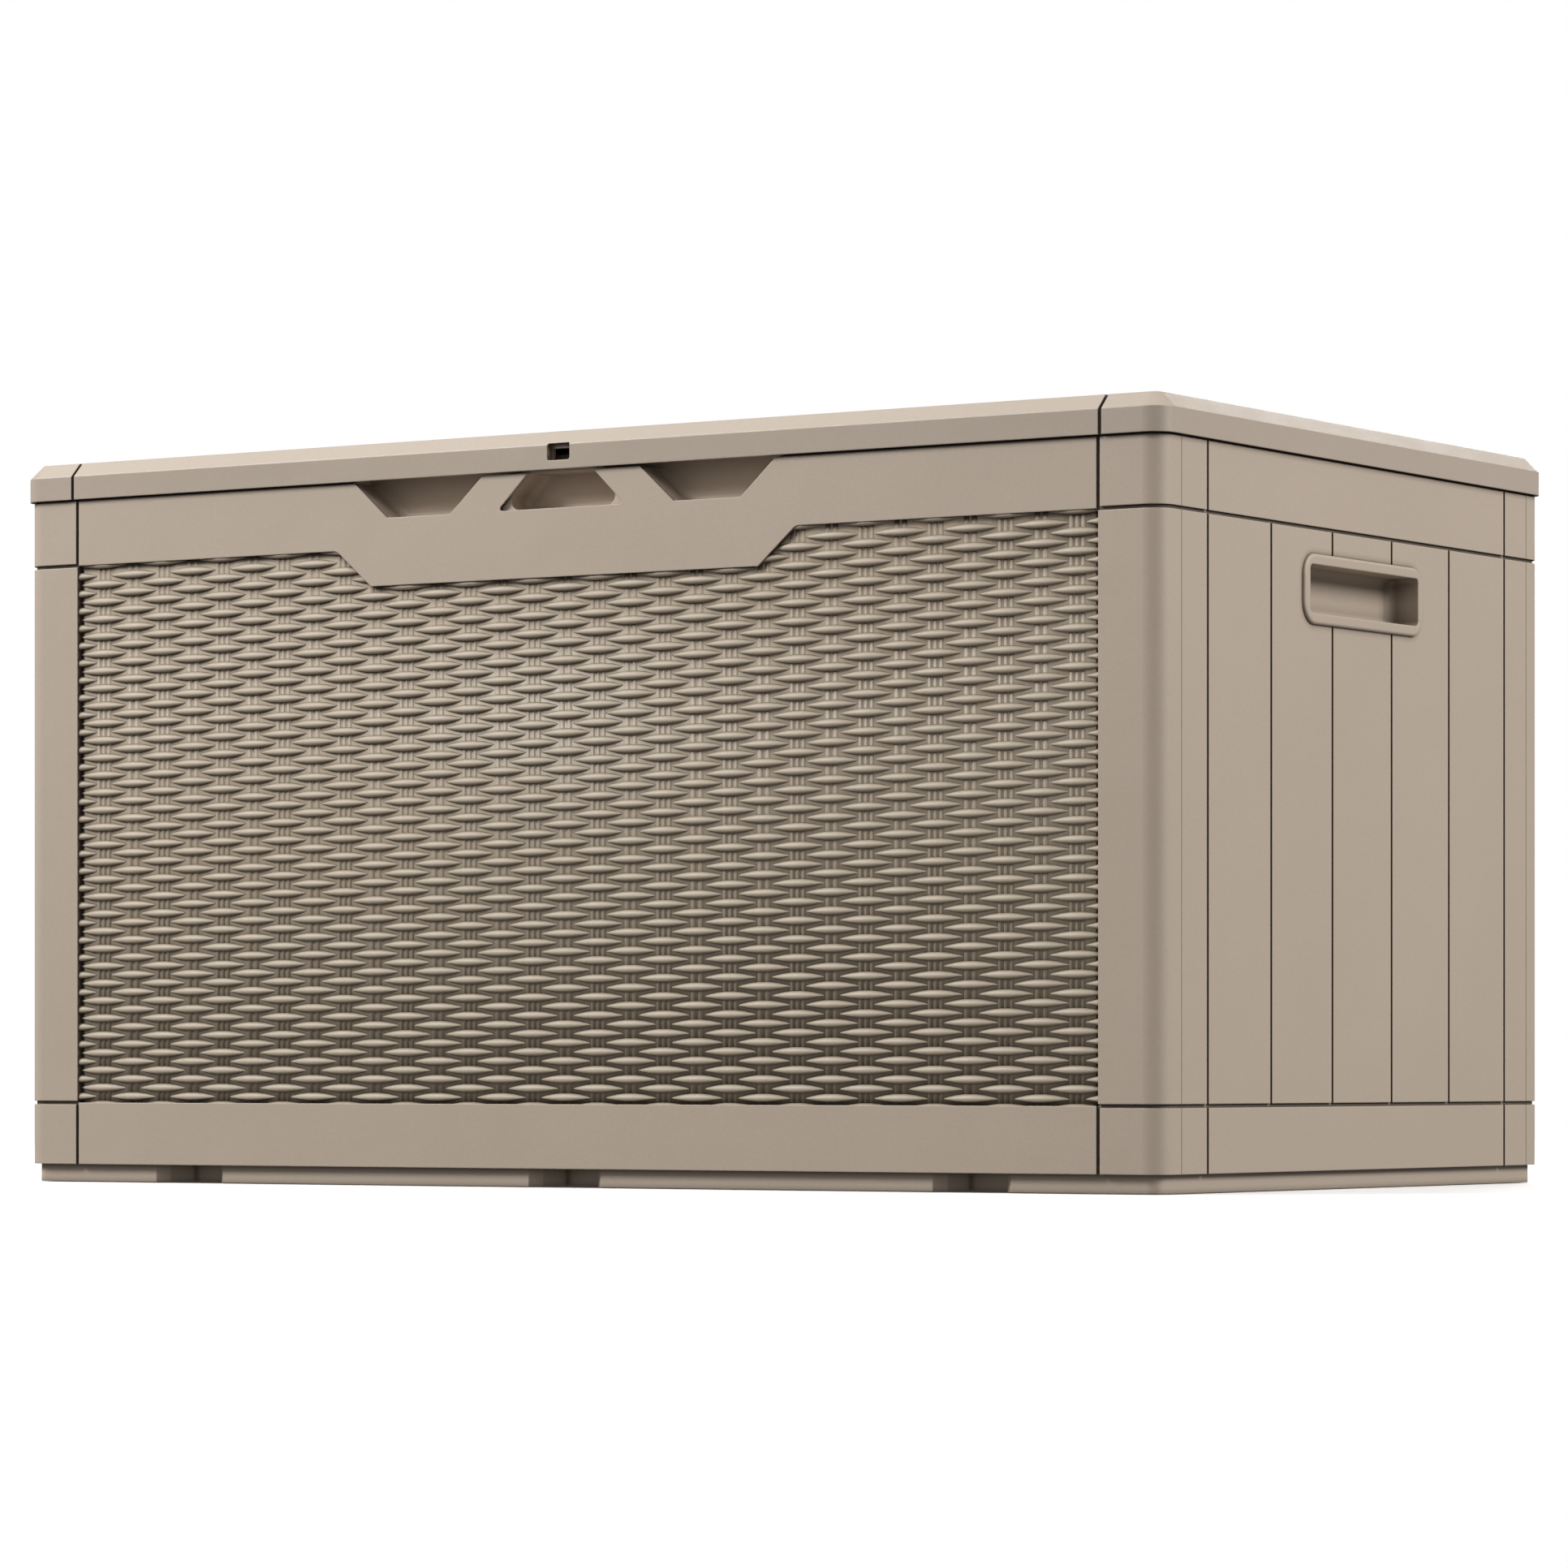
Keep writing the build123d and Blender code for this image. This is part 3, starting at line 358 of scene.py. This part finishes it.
# ---------------------------------------------------------------- woven fields
# Wicker moulded into the front and back panels: strands bend in front of every other column of upright
# canes, which are three thin or two thicker rods, on a shallow ground. Each strand is fullest low down,
# and the first and last rows run into the plain bands.
band_low, band_high = 0.068, 0.531
field_half = 0.508
wall_overlap = 0.0028
column_pitch = 0.0323
first_column = -0.482
first_shown = -1            # the column left of it, which runs under the edge of the field
row_pitch = 0.00747
first_row = 0.066
row_count = 62
strand_half_length = 0.0275
strand_half_height = 0.0037
strand_half_depth = 0.0030
strand_front = 0.0006
strand_bow = 0.0024
strand_rings = 10
strand_fullness = 0.9       # under 1 keeps a strand broad for longer towards its ends
tip_height, tip_depth = 0.07, 0.35  # shares of the height and depth left at the tips
strand_profile = (
    (-1.0, 0.05),
    (-0.86, 0.6),
    (-0.55, 0.94),
    (-0.2, 1.0),
    (0.25, 0.88),
    (0.65, 0.6),
    (1.0, 0.05),
    (0.6, -0.6),
    (-0.6, -0.6),
)
ground_front = 0.0042
ground_back = 0.0072
ground_margin = 0.004
edge_half_height = 0.0034
edge_front = 0.0004
rod_front = 0.0034
rod_half_depth = 0.0026
rod_sides = 10
rods_by_column = (
    ((-0.0054, 0.0028), (0.0, 0.0028), (0.0054, 0.0028)),
    ((-0.0036, 0.0037), (0.0036, 0.0037)),
)
plate_drop = 0.031
plate_low = band_high - plate_drop
plate_top_half, plate_bottom_half = 0.229, 0.193
plate_slope = (plate_top_half - plate_bottom_half) / (band_high - plate_low)


def keep_in_field(points, plate):
    """Draws points in to a little inside the walls of the field, and of the handle plate if it has one."""
    x, z = points[:, 0], points[:, 2]
    np.clip(x, -field_half - wall_overlap, field_half + wall_overlap, out=x)
    np.clip(z, band_low - wall_overlap, band_high + wall_overlap, out=z)
    if plate:
        limit = plate_bottom_half + (z - plate_low) * plate_slope - wall_overlap * math.hypot(1, plate_slope)
        past_side = (limit - np.abs(x)) / math.hypot(1, plate_slope)
        past_bottom = z - plate_low - wall_overlap
        inside = (past_side > 0) & (past_bottom > 0)
        up = inside & (past_bottom <= past_side)
        out = inside & (past_bottom > past_side)
        z[up] = plate_low + wall_overlap
        x[out] = np.sign(x[out]) * limit[out]


def tube_faces(rings, sides, count, turned):
    """Faces of closed tubes whose points are stored ring by ring."""
    step = rings * sides
    ring, side = np.meshgrid(np.arange(rings - 1), np.arange(sides), indexing="ij")
    here = (ring * sides + side).ravel()
    beside = (ring * sides + (side + 1) % sides).ravel()
    walls = np.stack([here, beside, beside + sides, here + sides], axis=1)
    first, last = np.arange(sides)[::-1], np.arange(sides) + (rings - 1) * sides
    if turned:
        walls, first, last = walls[:, ::-1], first[::-1], last[::-1]
    faces = []
    for start in range(0, count * step, step):
        faces += (walls + start).tolist() + [(first + start).tolist(), (last + start).tolist()]
    return faces


def woven_field(name, face_y, inward, plate):
    """Strands, rods and ground of one field, as one moulded relief in the recess of its panel."""
    profile_rise, profile_reach = np.array(strand_profile).T
    along = np.sin(np.linspace(-math.pi / 2, math.pi / 2, strand_rings))
    swell = np.cos(along * math.pi / 2) ** strand_fullness
    rise = (tip_height + (1 - tip_height) * swell)[:, None] * profile_rise
    reach = (tip_depth + (1 - tip_depth) * swell)[:, None] * profile_reach
    dip = (strand_bow * (1 - np.cos(along * math.pi / 2)))[:, None]

    columns = range(first_shown, int((field_half - first_column) / column_pitch) + 2)
    strands = []
    for column in columns:
        x = first_column + column * column_pitch
        for row in range(column % 2, row_count, 2):
            in_band = row == 0
            z = first_row + row * row_pitch
            strands.append((x, z, strand_half_height, edge_front if in_band else strand_front))
        if column % 2 == 0:
            strands.append((x, band_high, edge_half_height, edge_front))
    grid = np.ones((len(along), len(profile_rise)))
    points = []
    for x, z, half_height, front in strands:
        depth = front + strand_half_depth + dip - strand_half_depth * reach
        points.append(
            np.stack(
                [
                    x + strand_half_length * along[:, None] * grid,
                    face_y + inward * depth,
                    z + half_height * rise,
                ],
                axis=2,
            ).reshape(-1, 3)
        )
    faces = tube_faces(len(along), len(profile_rise), len(strands), inward < 0)
    strand_points = np.concatenate(points)

    turn = np.linspace(0, 2 * math.pi, rod_sides, endpoint=False)
    rods = []
    for column in columns:
        for offset, half_width in rods_by_column[column % 2]:
            x = first_column + column * column_pitch + offset
            top = band_high
            if plate:
                top -= max(0.0, min(band_high - plate_low, (plate_top_half - abs(x)) / plate_slope))
            if abs(x) < field_half:
                for z in (band_low - wall_overlap, top + wall_overlap):
                    rods.append(
                        np.stack(
                            [
                                x + half_width * np.sin(turn),
                                face_y + inward * (rod_front + rod_half_depth * (1 - np.cos(turn))),
                                np.full(len(turn), z),
                            ],
                            axis=1,
                        )
                    )
    rod_points = np.concatenate(rods)
    rod_faces = tube_faces(2, len(turn), len(rods) // 2, inward < 0)
    faces += [[index + len(strand_points) for index in face] for face in rod_faces]
    keep_in_field(strand_points, plate)

    half_ground = field_half - ground_margin
    ground_points = [
        (x, face_y + inward * depth, z)
        for z in (band_low, band_high)
        for x, depth in (
            (-half_ground, ground_front),
            (half_ground, ground_front),
            (half_ground, ground_back),
            (-half_ground, ground_back),
        )
    ]
    start = len(strand_points) + len(rod_points)
    ground_faces = tube_faces(2, 4, 1, inward < 0)
    faces += [[index + start for index in face] for face in ground_faces]

    mesh = bpy.data.meshes.new(name)
    mesh.from_pydata(np.concatenate([strand_points, rod_points, ground_points]).tolist(), [], faces)
    mesh.polygons.foreach_set("use_smooth", [True] * len(mesh.polygons))
    piece = bpy.data.objects.new(name, mesh)
    bpy.context.scene.collection.objects.link(piece)
    mesh.materials.append(shaded_wicker_resin)
    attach(piece, "box")


# Painted shade: the weave's resin is darker than the panels' taupe, and its hollows get strong painted
# shade.
shaded_wicker_resin = moulded_resin(
    "shaded_wicker_resin", (0.345, 0.283, 0.208), edge_radius=0.0004, reach=0.006, amount=0.9, closed=0.3
)
box_depth = 0.660
woven_field("front_weave", front_low.y, 1, True)
woven_field("back_weave", front_low.y + box_depth, -1, False)

# ---------------------------------------------------------------- handle cups
# Blind hand pockets in both ends, each with a raised rounded border; they snap in from outside.
# Painted shade darkens the inside of the pockets, reaching far in.
cup_resin = moulded_resin("cup_resin", taupe, reach=0.02, amount=0.75, closed=0.4)
dress(cup_resin, "left_handle_cup", "right_handle_cup")

# ---------------------------------------------------------------- finger grips and lock tongue
# The trough moulding behind the three grips, and the tongue for a padlock that is screwed to it.
# Painted light: the grip liner's resin is lighter than the walls' taupe to brighten the shaded grips, with
# little painted shade in them.
lightened_grip_resin = moulded_resin("lightened_grip_resin", (0.485, 0.392, 0.306), reach=0.02, amount=0.15, closed=0.4)
dress(lightened_grip_resin, "grip_liner", "lock_tongue")

# ---------------------------------------------------------------- lid
# One moulded shell with a bevelled edge, smoother than the walls; its resin is painted a little darker
# than theirs as painted shade against the strong light on its bevel. The saddles that hold the brace
# tubes under it are of the walls' own resin.
lid_resin = moulded_resin("lid_resin", (0.365, 0.302, 0.243), closed=0.7, roughness=0.38)
dress(lid_resin, "lid_panel")
dress(moulded_resin("saddle_resin", taupe), "brace_saddles")

# ---------------------------------------------------------------- hinge pins and lid stays
# Pressed and turned steel, zinc plated: a clouded pale grey, duller where it has been handled.
plate_group, plate_in, plate_out = shader_group(
    "zinc_plating",
    {"Colour": (0.62, 0.61, 0.58, 1.0), "Cloud": 0.25, "Roughness": 0.34},
    {"Colour": "NodeSocketColor", "Roughness": "NodeSocketFloat", "Height": "NodeSocketFloat"},
)
cloud_dulling = 0.35
plate_grain_height = 0.00008
plate_place = plate_group.nodes.new("ShaderNodeTexCoord").outputs["Object"]
plate_cloud = lumps(plate_group, plate_place, scale=60.0, detail=4.0, roughness=0.65)
plate_shade = calculate(plate_group, "MULTIPLY", plate_cloud, plate_in["Cloud"])
plate_group.links.new(
    scale_colour(plate_group, plate_in["Colour"], calculate(plate_group, "ADD", plate_shade, 1.0)),
    plate_out["Colour"],
)
plate_group.links.new(
    weighted_sum(plate_group, (plate_cloud, cloud_dulling), (plate_in["Roughness"], 1.0)),
    plate_out["Roughness"],
)
plate_grain = lumps(plate_group, plate_place, scale=900.0, detail=2.0)
plate_group.links.new(
    calculate(plate_group, "MULTIPLY", plate_grain, plate_grain_height), plate_out["Height"]
)


def plated_steel(name, colour, cloud, roughness, edge_radius):
    """Zinc-plated steel of one kind of part."""
    material = bpy.data.materials.new(name)
    material.use_nodes = True
    tree = material.node_tree
    edges = place_group(tree, edge_group, {"Radius": edge_radius})
    values = {"Colour": (*colour, 1.0), "Cloud": cloud, "Roughness": roughness}
    surface = place_group(tree, plate_group, values)
    finish_surface(tree, surface, edges["Normal"]).inputs["Metallic"].default_value = 1.0
    return material


pin_steel = plated_steel("pin_steel", (0.60, 0.60, 0.59), cloud=0.2, roughness=0.28, edge_radius=0.0004)
dress(pin_steel, *(f"hinge_pin_{number}" for number in range(1, 5)))
stay_steel = plated_steel("stay_steel", (0.62, 0.61, 0.57), cloud=0.35, roughness=0.34, edge_radius=0.0006)
for side in ("left", "right"):
    dress(stay_steel, *(f"{side}_stay_{part}" for part in ("track", "arm", "slider", "bracket", "pivot")))

# ---------------------------------------------------------------- screws
# Cross-head screws, zinc plated with a faint yellow passivation.
screw_steel = plated_steel("screw_steel", (0.66, 0.60, 0.46), cloud=0.3, roughness=0.32, edge_radius=0.0003)
dress(screw_steel, "base_screws", "corner_screws", "liner_screws", "tongue_screws", "track_screws")
dress(screw_steel, "saddle_screws", "bracket_screws")

# ---------------------------------------------------------------- lid braces
# Hot-dip galvanised tubes under the lid, with the crystal pattern that the zinc leaves as it sets.
spangle_group, spangle_in, spangle_out = shader_group(
    "galvanised_spangle",
    {"Colour": (0.55, 0.56, 0.57, 1.0), "Crystals": 110.0, "Contrast": 0.3},
    {"Colour": "NodeSocketColor", "Roughness": "NodeSocketFloat", "Height": "NodeSocketFloat"},
)
crystal_dulling = 0.18
crystal_roughness = 0.42
crystal_height = 0.0002
spangle_cells = spangle_group.nodes.new("ShaderNodeTexVoronoi")
spangle_place = spangle_group.nodes.new("ShaderNodeTexCoord").outputs["Object"]
spangle_group.links.new(spangle_place, spangle_cells.inputs["Vector"])
spangle_group.links.new(spangle_in["Crystals"], spangle_cells.inputs["Scale"])
spangle_axes = spangle_group.nodes.new("ShaderNodeSeparateXYZ")
spangle_group.links.new(spangle_cells.outputs["Color"], spangle_axes.inputs[0])
spangle_tone = calculate(spangle_group, "SUBTRACT", spangle_axes.outputs["X"], 0.5)
spangle_shade = calculate(spangle_group, "MULTIPLY", spangle_tone, spangle_in["Contrast"])
spangle_group.links.new(
    scale_colour(spangle_group, spangle_in["Colour"], calculate(spangle_group, "ADD", spangle_shade, 1.0)),
    spangle_out["Colour"],
)
spangle_gloss = calculate(spangle_group, "MULTIPLY", spangle_tone, crystal_dulling)
spangle_group.links.new(
    calculate(spangle_group, "ADD", spangle_gloss, crystal_roughness), spangle_out["Roughness"]
)
spangle_group.links.new(
    calculate(spangle_group, "MULTIPLY", spangle_cells.outputs["Distance"], crystal_height),
    spangle_out["Height"],
)
brace_steel = bpy.data.materials.new("galvanised_tube")
brace_steel.use_nodes = True
brace_surface = place_group(brace_steel.node_tree, spangle_group, {"Contrast": 0.3})
finish_surface(brace_steel.node_tree, brace_surface).inputs["Metallic"].default_value = 1.0
dress(brace_steel, "front_lid_brace", "rear_lid_brace")

# ---------------------------------------------------------------- lid bumpers
# Black rubber buttons, pressed into bosses under the lid.
rubber_group, rubber_in, rubber_out = shader_group(
    "dusty_rubber",
    {"Colour": (0.022, 0.021, 0.02, 1.0), "Dust": (0.12, 0.11, 0.10, 1.0)},
    {"Colour": "NodeSocketColor", "Roughness": "NodeSocketFloat", "Height": "NodeSocketFloat"},
)
rubber_roughness = 0.62
dust_roughness = 0.3
rubber_grain_height = 0.0001
rubber_place = rubber_group.nodes.new("ShaderNodeTexCoord").outputs["Object"]
dustiest_lump, most_dust = 0.3, 0.5
rubber_lumps = lumps(rubber_group, rubber_place, scale=240.0, detail=4.0)
rubber_dust = spread(rubber_group, rubber_lumps, 0.0, dustiest_lump, 0.0, most_dust)
rubber_group.links.new(
    blend_colours(rubber_group, rubber_dust, rubber_in["Colour"], rubber_in["Dust"]), rubber_out["Colour"]
)
rubber_group.links.new(
    weighted_sum(rubber_group, (rubber_dust, dust_roughness), (1.0, rubber_roughness)),
    rubber_out["Roughness"],
)
rubber_grain = lumps(rubber_group, rubber_place, scale=1500.0, detail=2.0)
rubber_group.links.new(
    calculate(rubber_group, "MULTIPLY", rubber_grain, rubber_grain_height), rubber_out["Height"]
)
bumper_rubber = bpy.data.materials.new("bumper_rubber")
bumper_rubber.use_nodes = True
finish_surface(bumper_rubber.node_tree, place_group(bumper_rubber.node_tree, rubber_group, {}))
dress(bumper_rubber, "lid_bumpers")
